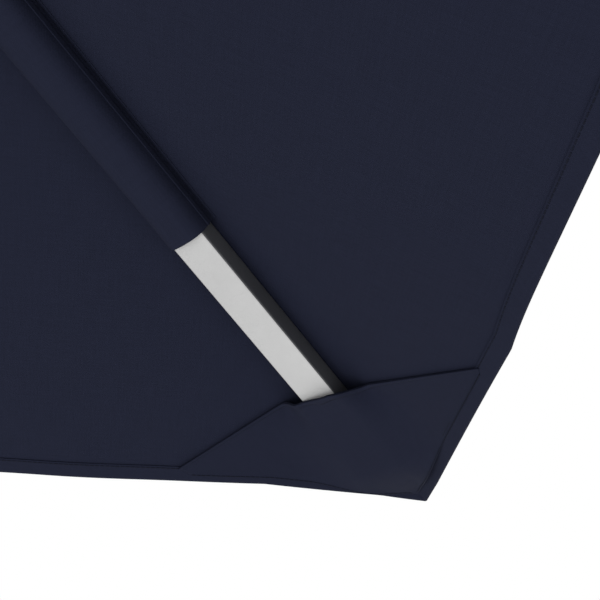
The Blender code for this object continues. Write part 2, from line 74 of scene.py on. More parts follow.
PIVOT_R = Vector(rib_joint(1)["pos_m"]).to_2d().length
HUB_Z = rib_joint(1)["pos_m"][2]
RIB_LONG = (CORNER_RADIUS - PIVOT_R) / cos(RIB_SLOPE)
RIB_HALF_W, RIB_HALF_H = 0.0125, 0.0075


# ------------------------------------------------------------------ camera, floor and light
# The camera stands under one corner of the canopy, close to its rib, and looks up at the pocket.
# A pale floor throws light up on the canopy's underside, and a broad soft lamp lights it from below.
CAMERA_RIB = 4
CAMERA_AT = (1.0676, -0.3110, -0.4332)
CAMERA_AIM = Vector((0.3622, 0.5052, 0.7833))
CAMERA_UP = Vector((-0.7272, -0.3726, 0.5765))

eye = bpy.data.cameras.new("corner_camera")
eye.lens, eye.sensor_width = 54, 36
eye.clip_start = 0.02
camera = bpy.data.objects.new("corner_camera", eye)
bpy.context.scene.collection.objects.link(camera)
side_way = CAMERA_AIM.cross(CAMERA_UP).normalized()
up_way = side_way.cross(CAMERA_AIM).normalized()
look = Matrix((side_way, up_way, -CAMERA_AIM.normalized())).transposed().to_4x4()
camera.matrix_world = rib_frame(CAMERA_RIB) @ Matrix.Translation(CAMERA_AT) @ look
bpy.context.scene.camera = camera
bpy.context.scene.view_settings.view_transform = "Standard"

sky = bpy.data.worlds.new("studio")
sky.use_nodes = True
sky.node_tree.nodes["Background"].inputs["Color"].default_value = (1, 1, 1, 1)
sky.node_tree.nodes["Background"].inputs["Strength"].default_value = 1.0
bpy.context.scene.world = sky

bpy.ops.mesh.primitive_plane_add(size=60)
floor = bpy.context.object
floor.name = "studio_floor"
paint = bpy.data.materials.new("studio_floor")
paint.use_nodes = True
paint.node_tree.nodes["Principled BSDF"].inputs["Base Color"].default_value = (0.80, 0.80, 0.80, 1)
paint.node_tree.nodes["Principled BSDF"].inputs["Roughness"].default_value = 0.9
floor.data.materials.append(paint)


def lamp(name, place, aim, size, power):
    light = bpy.data.lights.new(name, "AREA")
    light.shape, light.size, light.energy = "DISK", size, power
    stand = bpy.data.objects.new(name, light)
    aim_turn = (aim - place).to_track_quat("-Z", "Y").to_matrix().to_4x4()
    stand.matrix_world = Matrix.Translation(place) @ aim_turn
    stand.visible_camera = False
    bpy.context.scene.collection.objects.link(stand)


corner = rib_frame(CAMERA_RIB)
lamp("key", Vector((-3.5, -4.5, 5.0)), Vector((0, 0, 1.2)), size=3.0, power=260)
lamp("under", corner @ Vector((0.80, 0.30, -1.35)), corner @ Vector((1.15, 0.05, 0)), size=1.1, power=10)


# ------------------------------------------------------------------ finishes
# Powder-coated steel, silver-grey coated aluminium, moulded black plastic, zinc plate, cast resin
# stone and rubber. Grain comes from two depths of noise, and all but the rubber show scuffs.
def node(tree, kind, **settings):
    made = tree.nodes.new("ShaderNode" + kind)
    for name, value in settings.items():
        if name in made.inputs:
            made.inputs[name].default_value = value
        else:
            setattr(made, name, value)
    return made


def number_node(tree, operation, *values):
    """A Math node fed by sockets or numbers."""
    made = tree.nodes.new("ShaderNodeMath")
    made.operation = operation
    for place, value in enumerate(values):
        if isinstance(value, (int, float)):
            made.inputs[place].default_value = value
        else:
            tree.links.new(value, made.inputs[place])
    return made.outputs[0]


def effect(name, ins, outs):
    """A node group with a Place vector, the named numbers that steer it, and the named numbers it gives."""
    tree = bpy.data.node_groups.new(name, "ShaderNodeTree")
    tree.interface.new_socket("Place", in_out="INPUT", socket_type="NodeSocketVector")
    for label, value in ins:
        tree.interface.new_socket(label, in_out="INPUT", socket_type="NodeSocketFloat").default_value = value
    for label in outs:
        tree.interface.new_socket(label, in_out="OUTPUT", socket_type="NodeSocketFloat")
    return tree, tree.nodes.new("NodeGroupInput").outputs, tree.nodes.new("NodeGroupOutput").inputs


grain, grain_in, grain_out = effect("grain", [("Fine", 1500.0), ("Broad", 8.0)], ["Height", "Shade"])
for label, detail, target in (("Fine", 3.0, "Height"), ("Broad", 4.0, "Shade")):
    speck = node(grain, "TexNoise", Detail=detail, Roughness=0.6)
    grain.links.new(grain_in["Place"], speck.inputs["Vector"])
    grain.links.new(grain_in[label], speck.inputs["Scale"])
    grain.links.new(speck.outputs["Fac"], grain_out[target])

# Scuffs: short pale rubs that lie mostly one way, in patches.
scuff, scuff_in, scuff_out = effect("scuffs", [("Amount", 0.3)], ["Mask"])
lines = node(scuff, "Mapping", Scale=(260, 260, 9), Rotation=(0.5, 0.3, 0))
scuff.links.new(scuff_in["Place"], lines.inputs[0])
rubs = node(scuff, "TexNoise", Scale=1.0, Detail=3.0)
scuff.links.new(lines.outputs[0], rubs.inputs["Vector"])
patches = node(scuff, "TexNoise", Scale=22.0, Detail=3.0)
scuff.links.new(scuff_in["Place"], patches.inputs["Vector"])
meet = number_node(scuff, "MULTIPLY", rubs.outputs["Fac"], patches.outputs["Fac"])
over = number_node(scuff, "MULTIPLY", number_node(scuff, "SUBTRACT", meet, 0.36), 9.0)
clipped = number_node(scuff, "MAXIMUM", number_node(scuff, "MINIMUM", over, 1.0), 0.0)
scuff.links.new(number_node(scuff, "MULTIPLY", clipped, scuff_in["Amount"]), scuff_out["Mask"])


def finish(name, rough, metallic=0.0, **steady):
    """A material, its nodes and its shader, with the values that are the same all over it."""
    made = bpy.data.materials.new(name)
    made.use_nodes = True
    shader = made.node_tree.nodes["Principled BSDF"]
    shader.inputs["Roughness"].default_value = rough
    shader.inputs["Metallic"].default_value = metallic
    for label, value in steady.items():
        shader.inputs[label.replace("_", " ")].default_value = value
    return made, made.node_tree, shader


def placed(tree, group, place, **values):
    made = tree.nodes.new("ShaderNodeGroup")
    made.node_tree = group
    tree.links.new(place, made.inputs["Place"])
    for label, value in values.items():
        made.inputs[label].default_value = value
    return made.outputs


def spread_over(tree, shade, dark, pale, low=0.35, high=0.65):
    """A value or a colour that goes from dark to pale as the shade goes from low to high."""
    span = node(tree, "MapRange")
    span.inputs["From Min"].default_value, span.inputs["From Max"].default_value = low, high
    tree.links.new(shade, span.inputs["Value"])
    if isinstance(dark, (int, float)):
        span.inputs["To Min"].default_value, span.inputs["To Max"].default_value = dark, pale
        return span.outputs[0]
    return mixed(tree, span.outputs[0], dark, pale)


def mixed(tree, share, first, second):
    mix = node(tree, "Mix", data_type="RGBA")
    for place, colour in ((6, first), (7, second)):
        if isinstance(colour, tuple):
            mix.inputs[place].default_value = (*colour, 1)
        else:
            tree.links.new(colour, mix.inputs[place])
    tree.links.new(share, mix.inputs[0])
    return mix.outputs[2]


def bumped(tree, shader, height, strength, distance):
    bump = node(tree, "Bump", Strength=strength, Distance=distance)
    tree.links.new(height, bump.inputs["Height"])
    tree.links.new(bump.outputs[0], shader.inputs["Normal"])


def hard_finish(name, dark, pale, rough, bump, fine, broad, metallic=0.0, worn=None, amount=0.3):
    """Coated, plated or moulded surface: broad mottling, fine grain in relief, and scuffs where worn."""
    made, tree, shader = finish(name, rough, metallic)
    spot = node(tree, "TexCoord").outputs["Object"]
    marks = placed(tree, grain, spot, Fine=fine, Broad=broad)
    colour = spread_over(tree, marks["Shade"], dark, pale)
    if worn:
        rub = placed(tree, scuff, spot, Amount=amount)["Mask"]
        colour = mixed(tree, rub, colour, worn)
    tree.links.new(colour, shader.inputs["Base Color"])
    tree.links.new(spread_over(tree, marks["Shade"], rough - 0.05, rough + 0.06), shader.inputs["Roughness"])
    bumped(tree, shader, marks["Height"], *bump)
    return made


silver_coat = hard_finish(
    "silver_coat", (0.406, 0.406, 0.406), (0.445, 0.445, 0.445), rough=0.50, bump=(0.55, 0.0004),
    fine=950.0, broad=14.0, worn=(0.49, 0.49, 0.49), amount=0.25)
charcoal_coat = hard_finish(
    "charcoal_coat", (0.044, 0.045, 0.051), (0.056, 0.057, 0.063), rough=0.46, bump=(0.25, 0.0003),
    fine=1100.0, broad=10.0, worn=(0.095, 0.095, 0.100), amount=0.3)
black_plastic = hard_finish(
    "black_plastic", (0.012, 0.012, 0.013), (0.019, 0.019, 0.020), rough=0.42, bump=(0.30, 0.0002),
    fine=2200.0, broad=16.0, worn=(0.05, 0.05, 0.05), amount=0.3)
zinc_plate = hard_finish(
    "zinc_plate", (0.52, 0.52, 0.50), (0.66, 0.66, 0.65), rough=0.30, bump=(0.15, 0.0001),
    fine=900.0, broad=60.0, metallic=1.0, worn=(0.35, 0.34, 0.32), amount=0.5)
cast_stone = hard_finish(
    "cast_stone", (0.026, 0.026, 0.028), (0.050, 0.050, 0.052), rough=0.62, bump=(0.55, 0.0012),
    fine=420.0, broad=26.0, worn=(0.12, 0.12, 0.12), amount=0.4)
rubber = hard_finish(
    "rubber", (0.014, 0.014, 0.014), (0.024, 0.024, 0.024), rough=0.80, bump=(0.3, 0.0004),
    fine=700.0, broad=12.0)


# ------------------------------------------------------------------ base
# Cast resin-stone weight on a thin rubber pad. A steel flange with a welded tube is bolted on top, and
# a plastic bush and a side clamp knob hold the pole in the tube.
def add_piece(name, shape, look, body, stands_for=(), sharp=35, place=None):
    """Turn a bmesh into a finished piece that moves with its body."""
    if place:
        bmesh.ops.transform(shape, matrix=place, verts=shape.verts)
    mesh = bpy.data.meshes.new(name)
    shape.to_mesh(mesh)
    shape.free()
    mesh.shade_smooth()
    mesh.set_sharp_from_angle(angle=radians(sharp))
    mesh.materials.append(look)
    piece = bpy.data.objects.new(name, mesh)
    bpy.context.scene.collection.objects.link(piece)
    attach(piece, body)
    if stands_for:
        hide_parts(*stands_for)
    return piece


def even_shading(piece):
    even = piece.modifiers.new("even", "WEIGHTED_NORMAL")
    even.keep_sharp, even.weight = True, 100
    return piece


def turned(profile, rounds=0.0008, around=96, closed=False):
    """A solid spun from (radius, height) points whose corners are rounded. A closed one makes a ring."""
    shape = bmesh.new()
    dots = [shape.verts.new((radius, 0, height)) for radius, height in profile]
    joins = list(zip(dots, dots[1:])) + ([(dots[-1], dots[0])] if closed else [])
    for pair in joins:
        shape.edges.new(pair)
    if rounds:
        inner = dots if closed else dots[1:-1]
        bmesh.ops.bevel(shape, geom=inner, offset=rounds, affect="VERTICES", segments=3, profile=0.5,
                        clamp_overlap=True, material=-1)
    bmesh.ops.spin(shape, geom=shape.verts[:] + shape.edges[:], cent=(0, 0, 0), axis=(0, 0, 1), angle=2 * pi,
                   steps=around, use_merge=True)
    bmesh.ops.remove_doubles(shape, verts=shape.verts, dist=1e-6)
    bmesh.ops.recalc_face_normals(shape, faces=shape.faces)
    return shape


def joined(first, *others):
    """Several bmeshes as one."""
    for other in others:
        mesh = bpy.data.meshes.new("part")
        other.to_mesh(mesh)
        other.free()
        first.from_mesh(mesh)
        bpy.data.meshes.remove(mesh)
    return first


def moved(shape, place):
    bmesh.ops.transform(shape, matrix=place, verts=shape.verts)
    return shape


def refined(node_name, look, body, soft=0.0):
    """The CAD node's own shape, welded and smoothly shaded, and with its sharp edges slightly rounded when
    soft is given.
    """
    shape = bmesh.new()
    shape.from_mesh(frame["nodes"][node_name].data)
    bmesh.ops.remove_doubles(shape, verts=shape.verts, dist=1e-6)
    bmesh.ops.dissolve_limit(shape, angle_limit=radians(0.5), verts=shape.verts, edges=shape.edges)
    piece = add_piece(f"{node_name}_finished", shape, look, body, [node_name])
    if soft:
        edge = piece.modifiers.new("soft", "BEVEL")
        edge.width, edge.segments, edge.limit_method, edge.angle_limit = soft, 2, "ANGLE", radians(50)
    return even_shading(piece)


GAP = 0.0003
POLE_R, POLE_WALL = 0.019, 0.0015
BASE_R, BASE_TOP, BASE_TUBE_TOP = 0.25, 0.058, 0.42
KNOB_Z = 0.34
ALONG_X = Matrix.Rotation(pi / 2, 4, "Y")

pad = turned([(0, 0), (BASE_R - 0.017, 0), (BASE_R - 0.015, 0.003), (0, 0.003)], 0.0006)
add_piece("foot_pad", pad, rubber, "base", ["base_foot_pad"])

weight_low = 0.003 + GAP
weight = turned([
    (0, weight_low), (BASE_R - 0.009, weight_low), (BASE_R, 0.0085), (BASE_R, 0.0170),
    (BASE_R - 0.0045, 0.0252), (0.2220, 0.0300), (0.2195, 0.0290), (0.2140, 0.0305), (0.2115, 0.0330),
    (0.175, 0.0415), (0.150, 0.0465), (0.120, 0.0500), (0.085, 0.0530), (0.0700, BASE_TOP), (0, BASE_TOP)],
    0.0035, around=160)
even_shading(add_piece("weight", weight, cast_stone, "base", ["base_weight"], sharp=60))

flange_low = BASE_TOP + GAP
flange_top = flange_low + 0.005
flange = turned([(0.0273, flange_low), (0.060, flange_low), (0.060, flange_top), (0.0273, flange_top)],
                0.0012, closed=True)
add_piece("flange", flange, charcoal_coat, "base", ["base_flange"])

tube_ring = [(0.0245, flange_low), (0.027, flange_low), (0.027, BASE_TUBE_TOP), (0.0245, BASE_TUBE_TOP)]
boss_ring = turned([(0.0054, 0.0255), (0.011, 0.0255), (0.011, 0.041), (0.0054, 0.041)], 0.0008, 48,
                   closed=True)
boss = moved(boss_ring, Matrix.Translation((0, 0, KNOB_Z)) @ ALONG_X)
even_shading(add_piece("tube", joined(turned(tube_ring, 0.0007, closed=True), boss), charcoal_coat, "base",
                       ["base_tube"]))

bead = turned([(0.0269, flange_top - 0.0004), (0.0308, flange_top - 0.0004), (0.0302, flange_top + 0.0016),
               (0.0286, flange_top + 0.0030), (0.0269, flange_top + 0.0036)], 0.0006, 180, closed=True)
for vert in bead.verts:
    ripple = sin(46 * Vector((vert.co.x, vert.co.y)).angle_signed(Vector((1, 0)), 0)) * 0.00022
    if hypot(vert.co.x, vert.co.y) > 0.0275:
        vert.co += Vector((vert.co.x, vert.co.y, 0.02)).normalized() * ripple
add_piece("weld_bead", bead, charcoal_coat, "base", sharp=80)

BOLT_CIRCLE = 0.045
WASHER_THICK, HEAD_TALL = 0.0010, 0.0042
for number in range(3):
    turn = 2 * pi * number / 3
    head_low = flange_top + GAP
    washer_top = head_low + WASHER_THICK
    washer = turned([(0.0045, head_low), (0.0088, head_low), (0.0088, washer_top), (0.0045, washer_top)],
                    0.0003, 40, closed=True)
    hexagon = bmesh.new()
    bmesh.ops.create_circle(hexagon, cap_ends=True, segments=6, radius=0.0068)
    top = bmesh.ops.extrude_face_region(hexagon, geom=hexagon.faces[:])["geom"]
    bmesh.ops.translate(hexagon, verts=[part for part in top if isinstance(part, bmesh.types.BMVert)],
                        vec=(0, 0, HEAD_TALL))
    bmesh.ops.recalc_face_normals(hexagon, faces=hexagon.faces)
    rims = [edge for edge in hexagon.edges if abs(edge.verts[0].co.z - edge.verts[1].co.z) < 1e-6]
    bmesh.ops.bevel(hexagon, geom=rims, offset=0.0006, affect="EDGES", segments=2, profile=0.5, material=-1)
    moved(hexagon, Matrix.Translation((0, 0, washer_top)) @ Matrix.Rotation(0.3 + number, 4, "Z"))
    shank = turned([(0, BASE_TOP - 0.028), (0.004, BASE_TOP - 0.028), (0.004, head_low + 0.002),
                    (0, head_low + 0.002)], 0.0004, 24)
    spot = Matrix.Translation((BOLT_CIRCLE * cos(turn), BOLT_CIRCLE * sin(turn), 0))
    add_piece(f"flange_bolt_{number + 1}", joined(washer, hexagon, shank), zinc_plate, "base",
              [f"base_bolt_{number + 1}"], place=spot)

bush = turned([
    (POLE_R + GAP, BASE_TUBE_TOP - 0.045), (0.0242, BASE_TUBE_TOP - 0.045), (0.0242, BASE_TUBE_TOP + GAP),
    (0.029, BASE_TUBE_TOP + GAP), (0.029, BASE_TUBE_TOP + 0.006), (0.024, BASE_TUBE_TOP + 0.012),
    (POLE_R + GAP, BASE_TUBE_TOP + 0.012)], 0.0009, closed=True)
add_piece("bush", bush, black_plastic, "base", ["pole_bush"])

LOBES, KNOB_R = 5, 0.0222
knob = bmesh.new()
bmesh.ops.create_circle(knob, cap_ends=True, segments=100, radius=KNOB_R)
for vert in knob.verts:
    swell = 1 + 0.13 * cos(LOBES * Vector((vert.co.x, vert.co.y)).angle_signed(Vector((1, 0)), 0))
    vert.co *= swell
top = bmesh.ops.extrude_face_region(knob, geom=knob.faces[:])["geom"]
bmesh.ops.translate(knob, verts=[part for part in top if isinstance(part, bmesh.types.BMVert)],
                    vec=(0, 0, 0.018))
bmesh.ops.recalc_face_normals(knob, faces=knob.faces)
rims = [edge for edge in knob.edges if abs(edge.verts[0].co.z - edge.verts[1].co.z) < 1e-6]
bmesh.ops.bevel(knob, geom=rims, offset=0.0042, affect="EDGES", segments=6, profile=0.5, material=-1)
dish = [face for face in knob.faces if face.normal.z > 0.9 and len(face.verts) > 20]
bmesh.ops.inset_region(knob, faces=dish, thickness=0.0022, depth=0)
bmesh.ops.inset_region(knob, faces=dish, thickness=0.0006, depth=-0.0010)
moved(knob, Matrix.Translation((0, 0, 0.046)))
neck = turned([(0, 0.0418), (0.0100, 0.0418), (0.0108, 0.0480), (0, 0.0480)], 0.0006, 48)
stem = turned([(0, POLE_R + 0.0008), (0.0050, POLE_R + 0.0008), (0.0050, 0.050), (0, 0.050)], 0.0005, 32)
add_piece("clamp_knob", joined(knob, neck, stem), black_plastic, "clamp_knob", ["base_clamp_knob"],
          place=Matrix.Translation((0, 0, KNOB_Z)) @ ALONG_X)


# ------------------------------------------------------------------ pole
# Two powder-coated steel tubes, one over the other, with a ribbed plastic collar over the joint, and
# the small pulley in the pole's top that the lifting cord runs over.
POLE_JOINT_Z = 0.70
inside = POLE_R - POLE_WALL
for name, low, high in (("lower_pole", BASE_TOP + 2 * GAP, POLE_JOINT_Z),
                        ("upper_pole", POLE_JOINT_Z + GAP, HUB_Z - 0.008)):
    ring = turned([(inside, low), (POLE_R, low), (POLE_R, high), (inside, high)], 0.0005, closed=True)
    add_piece(f"{name}_tube", ring, charcoal_coat, "mast", [name])

collar_profile = [(POLE_R + GAP, -0.040), (0.0208, -0.040), (0.0218, -0.038)]
for groove in (-0.024, -0.018, -0.012, 0.012, 0.018, 0.024):
    collar_profile += [(0.0218, groove - 0.0014), (0.0211, groove - 0.0007), (0.0211, groove + 0.0007),
                       (0.0218, groove + 0.0014)]
collar_profile += [(0.0218, 0.038), (0.0208, 0.040), (POLE_R + GAP, 0.040)]
collar = turned(collar_profile, 0.0003, closed=True)
add_piece("collar", collar, black_plastic, "mast", ["pole_collar"],
          place=Matrix.Translation((0, 0, POLE_JOINT_Z)))
refined("pulley_pin", zinc_plate, "mast")
refined("top_pulley", black_plastic, "pulley")


# ------------------------------------------------------------------ crank
# A two-part moulded housing is screwed round the pole. The steel axle carries the cord drum inside and
# the moulded arm outside, and the handle spins on a rivet at the arm's end.
CRANK_Z, CRANK_ARM = 1.00, 0.075
for half in ("front", "rear"):
    refined(f"crank_housing_{half}", black_plastic, "mast", soft=0.0006)
for number in (1, 2):
    refined(f"housing_screw_{number}", zinc_plate, "mast")
crank_axis = Matrix.Translation((0, 0, CRANK_Z)) @ Matrix.Rotation(pi / 2, 4, "X")
knob_axis = crank_axis @ Matrix.Translation((0, -CRANK_ARM, 0))

bezel = turned([(0.0058, 0.0415), (0.0170, 0.0415), (0.0170, 0.0428), (0.0150, 0.0436), (0.0128, 0.0436),
                (0.0122, 0.0424), (0.0058, 0.0424)], 0.0003, closed=True)
add_piece("crank_bezel", bezel, black_plastic, "mast", place=crank_axis)
axle = turned([(0, -0.029), (0.0050, -0.029), (0.0050, 0.0595), (0.0044, 0.0605), (0, 0.0605)], 0.0003, 48)
add_piece("axle", axle, zinc_plate, "crank", ["crank_axle"], place=crank_axis)
refined("cord_drum", black_plastic, "crank")
refined("crank_arm", black_plastic, "crank", soft=0.0011)
rivet = turned([
    (0, 0.0450), (0.0062, 0.0450), (0.0062, 0.0472), (0.0030, 0.0472), (0.0030, 0.0945), (0.0055, 0.0945),
    (0.0050, 0.0965), (0, 0.0970)], 0.0005, 48)
add_piece("knob_rivet", rivet, zinc_plate, "crank", ["crank_knob_rivet"], place=knob_axis)
grip = [(0.0034, 0.0552), (0.0085, 0.0552), (0.0100, 0.0570), (0.0104, 0.0640)]
for groove in (0.0690, 0.0740, 0.0790, 0.0840):
    swell = 0.0104 + (groove - 0.064) * 0.105
    grip += [(swell, groove - 0.0012), (swell - 0.0006, groove), (swell, groove + 0.0012)]
grip += [(0.0124, 0.0900), (0.0095, 0.0965), (0.0066, 0.0972), (0.0066, 0.0938), (0.0034, 0.0938)]
add_piece("handle", turned(grip, 0.0005, 64, closed=True), black_plastic, "crank_handle",
          ["crank_knob"], place=knob_axis)


# ------------------------------------------------------------------ hub and runner
# Moulded nylon: a slotted hub at the pole's top, whose steel wire ring is the pivot of all four ribs,
# and a slotted runner that slides on the pole with the struts' lower ends in it.
refined("top_hub", black_plastic, "mast", soft=0.0007)
refined("hub_pivot_wire", zinc_plate, "mast")
refined("runner", black_plastic, "runner", soft=0.0007)


# ------------------------------------------------------------------ ribs and struts
# Each rib is a rectangular aluminium tube, coated silver-grey below and charcoal on its sides, with a
# flat hinge end and a plastic plug. A riveted saddle under it carries the strut that props it open.
RIB_START, RIB_END = 0.030, RIB_LONG - 0.060
STRUT_AT, LUG_DROP, LUG_REACH = 0.62, 0.0168, 0.0094


def block(low, high, bevel, steps, edges_along):
    """A box whose edges along one axis are rounded."""
    shape = bmesh.new()
    low, high = Vector(low), Vector(high)
    size = Matrix.Diagonal((*(high - low), 1))
    bmesh.ops.create_cube(shape, size=1, matrix=Matrix.Translation((low + high) / 2) @ size)
    chosen = [edge for edge in shape.edges
              if abs((edge.verts[0].co - edge.verts[1].co).normalized()[edges_along]) > 0.9]
    bmesh.ops.bevel(shape, geom=chosen, offset=bevel, affect="EDGES", segments=steps, profile=0.5,
                    material=-1)
    return shape


for number in RIBS:
    place = rib_frame(number)
    arm = f"rib_arm_{number}"
    bar = block((RIB_START, -RIB_HALF_W, -RIB_HALF_H), (RIB_END, RIB_HALF_W, RIB_HALF_H), 0.0019, 5,
                edges_along=0)
    blade = block((-0.0055, -0.005, -0.0064), (0.034, 0.005, 0.0064), 0.0045, 5, edges_along=1)
    bar_piece = add_piece(f"rib_tube_{number}", joined(bar, blade), charcoal_coat, arm,
                          [f"rib_{number}"], place=place)
    bar_piece.data.materials.append(silver_coat)
    down = -(place.to_3x3() @ Vector((0, 0, 1)))
    for face in bar_piece.data.polygons:
        if face.normal.dot(down) > 0.80:
            face.material_index = 1
    refined(f"rib_end_plug_{number}", black_plastic, arm, soft=0.0005)
    refined(f"strut_bracket_{number}", charcoal_coat, arm, soft=0.0004)
    refined(f"strut_{number}", charcoal_coat, f"strut_arm_{number}", soft=0.0012)

    seat = -RIB_HALF_H - GAP - 0.0016
    heads = []
    for x in (-0.0185, 0.0185):
        for y in (-0.0055, 0.0055):
            dome = turned([(0, 0.0013), (0.0014, 0.0011), (0.0024, 0.0004), (0.0026, -0.0003), (0, -0.0003)],
                          0.0002, 24)
            on_saddle = Matrix.Translation((STRUT_AT + x, y, seat)) @ Matrix.Rotation(pi, 4, "X")
            heads.append(moved(dome, on_saddle))
    for side in (1, -1):
        dome = turned([(0, 0.0016), (0.0020, 0.0014), (0.0036, 0.0005), (0.0038, 0), (0, 0)], 0.0002, 28)
        heads.append(moved(dome, Matrix.Translation((STRUT_AT, side * (LUG_REACH - 0.0016), -LUG_DROP))
                           @ Matrix.Rotation(-side * pi / 2, 4, "X")))
    add_piece(f"bracket_rivets_{number}", joined(*heads), zinc_plate, arm, place=place)


# ------------------------------------------------------------------ canopy
# One sewn cover of solution-dyed navy polyester in a plain weave, about 0.7 mm thick, stretched over
# the ribs. Each rib carries the half panels beside it.
CLOTH = 0.0007
CLOTH_START = 0.048             # along the rib, under the crown patch
RIDGE = 0.0128                  # where the two panels' planes meet, above the rib's middle line
ON_RIB = RIB_HALF_H + 0.0006    # cloth's middle layer where it lies on the rib
PANEL_FALL = 0.342              # how far a panel falls for each unit across
EDGE_LONG = 1.003               # from a corner to the middle of a side
SLANT = 1.338                   # length along the rib for each unit square in from the hem
EDGE_CURVE, CURVE_FROM = 0.028, 0.25
PANEL_SAG = 0.012
# The sewn-on pocket pulls the hem out of line a little: how far in, where, and over what length.
PULLS = {1: (0.0060, 0.112, 0.100, 0.125), -1: (-0.0040, 0.200, 0.130, 0.036)}
SIDES = ((1, "left"), (-1, "right"))

weave, weave_in, weave_out = effect("plain_weave", [("Pitch", 0.0006)], ["Height", "Shade"])
apart = node(weave, "SeparateXYZ")
weave.links.new(weave_in["Place"], apart.inputs[0])
waves = []
for axis in (0, 1):
    half_turns = number_node(weave, "MULTIPLY", apart.outputs[axis], pi)
    waves.append(number_node(weave, "SINE", number_node(weave, "DIVIDE", half_turns, weave_in["Pitch"])))
slubs = []
for stretch in ((900, 40, 1), (40, 900, 1)):
    threads = node(weave, "Mapping", Scale=stretch)
    weave.links.new(weave_in["Place"], threads.inputs[0])
    slub = node(weave, "TexNoise", Scale=1.0, Detail=2.0)
    weave.links.new(threads.outputs[0], slub.inputs["Vector"])
    slubs.append(slub.outputs["Fac"])
uneven = number_node(weave, "ADD", *slubs)
crossings = number_node(weave, "MULTIPLY", *waves)
weave.links.new(number_node(weave, "ADD", crossings, uneven), weave_out["Height"])
weave.links.new(uneven, weave_out["Shade"])


def cloth_finish(name, dark, pale):
    made, tree, shader = finish(name, 0.92, Specular_IOR_Level=0.12)
    uv = node(tree, "UVMap", uv_map="threads")
    marks = placed(tree, weave, uv.outputs[0])
    tree.links.new(spread_over(tree, marks["Shade"], dark, pale, 0.7, 1.3), shader.inputs["Base Color"])
    bumped(tree, shader, marks["Height"], 0.30, 0.0002)
    return made


navy_cloth = cloth_finish("navy_cloth", (0.0084, 0.0102, 0.0223), (0.0098, 0.0119, 0.0257))
navy_thread = cloth_finish("navy_thread", (0.0046, 0.0056, 0.0115), (0.0066, 0.0080, 0.0160))


def smooth(low, high, value):
    """0 up to low, 1 from high on, and a smooth turn in between."""
    share = min(1, max(0, (value - low) / (high - low)))
    return share * share * (3 - 2 * share)


def edge_way(side):
    """Direction of the canopy's edge as it leaves the corner, to one side of the rib."""
    turn = sin(pi / 4)
    return Vector((-turn * cos(RIB_SLOPE), side * turn, -turn * sin(RIB_SLOPE)))


def inward_way(side):
    """Direction square in from that edge, in the panel's plane."""
    way = edge_way(side)
    return (Vector((-1, 0, 0)) + way * way.x).normalized()


def panel_up(side):
    return Vector((1, 0, 0)).cross(edge_way(side)).normalized() * side


def edge_in(side, distance):
    """How far in from a straight line the hem runs, at a distance from the corner."""
    size, middle, before, after = PULLS[side]
    reach = before if distance < middle else after
    pull = size * exp(-abs(distance - middle) / reach) * min(1, distance / 0.03)
    return pull + EDGE_CURVE / SLANT * smooth(CURVE_FROM, EDGE_LONG, distance)


def hem_at(side, share):
    return RIB_LONG - SLANT * edge_in(side, share * EDGE_LONG)


def lies_on_rib(spot):
    """Cloth that crosses the rib lies flat on it, and rises to the seam again past the rib's end."""
    limit = ON_RIB + (RIDGE - ON_RIB) * smooth(RIB_LONG - 0.032, RIB_LONG - 0.004, spot.x)
    spot.z = min(spot.z, limit)
    return spot


def canopy_point(side, share, down):
    """Share runs from the rib to the middle of the panel, and down from the hub to the hem."""
    along = CLOTH_START + (hem_at(side, share) - CLOTH_START) * down
    wide = (PIVOT_R + along * cos(RIB_SLOPE) + RIDGE * sin(RIB_SLOPE)) * sin(pi / 4)
    spot = Vector((along, 0, RIDGE)) + edge_way(side) * wide * share
    hang = smooth(0, 1, share) * (sin(pi * down ** 1.3) + 0.35 * down)
    pull = noise.noise(Vector((share * 11, down * 1.6, 3.0 + side))) * sin(pi * share) * 0.0035 * down
    spot += panel_up(side) * (pull - PANEL_SAG * hang)
    return lies_on_rib(spot)


def below_panel(side, share, inward, drop):
    """A point under the canopy, square in from the hem by inward."""
    down = 1 - inward * SLANT / (hem_at(side, share) - CLOTH_START)
    return canopy_point(side, share, down) - panel_up(side) * drop


def cloth_piece(name, columns, rows, surface, threads, place, thick=CLOTH):
    """A flat woven grid laid on a surface of (u, v), with its threads mapped in metres."""
    shape = bmesh.new()
    bmesh.ops.create_grid(shape, x_segments=columns, y_segments=rows, size=0.5)
    uv = shape.loops.layers.uv.new("threads")
    for face in shape.faces:
        for corner in face.loops:
            corner[uv].uv = threads(corner.vert.co.x + 0.5, corner.vert.co.y + 0.5)
    for vert in shape.verts:
        vert.co = place @ surface(vert.co.x + 0.5, vert.co.y + 0.5)
    mesh = bpy.data.meshes.new(name)
    shape.to_mesh(mesh)
    shape.free()
    mesh.shade_smooth()
    mesh.materials.append(navy_cloth)
    piece = bpy.data.objects.new(name, mesh)
    bpy.context.scene.collection.objects.link(piece)
    wall = piece.modifiers.new("cloth", "SOLIDIFY")
    wall.thickness, wall.offset = thick, 0
    return even_shading(piece)


def on_arm(piece, number, side=0):
    """The piece moves with its rib, and one beside the rib gets a mesh of its own."""
    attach(piece, f"rib_arm_{number}")
    if side:
        way = edge_way(side) * side
        way.x = 0
        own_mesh(piece)
    return piece


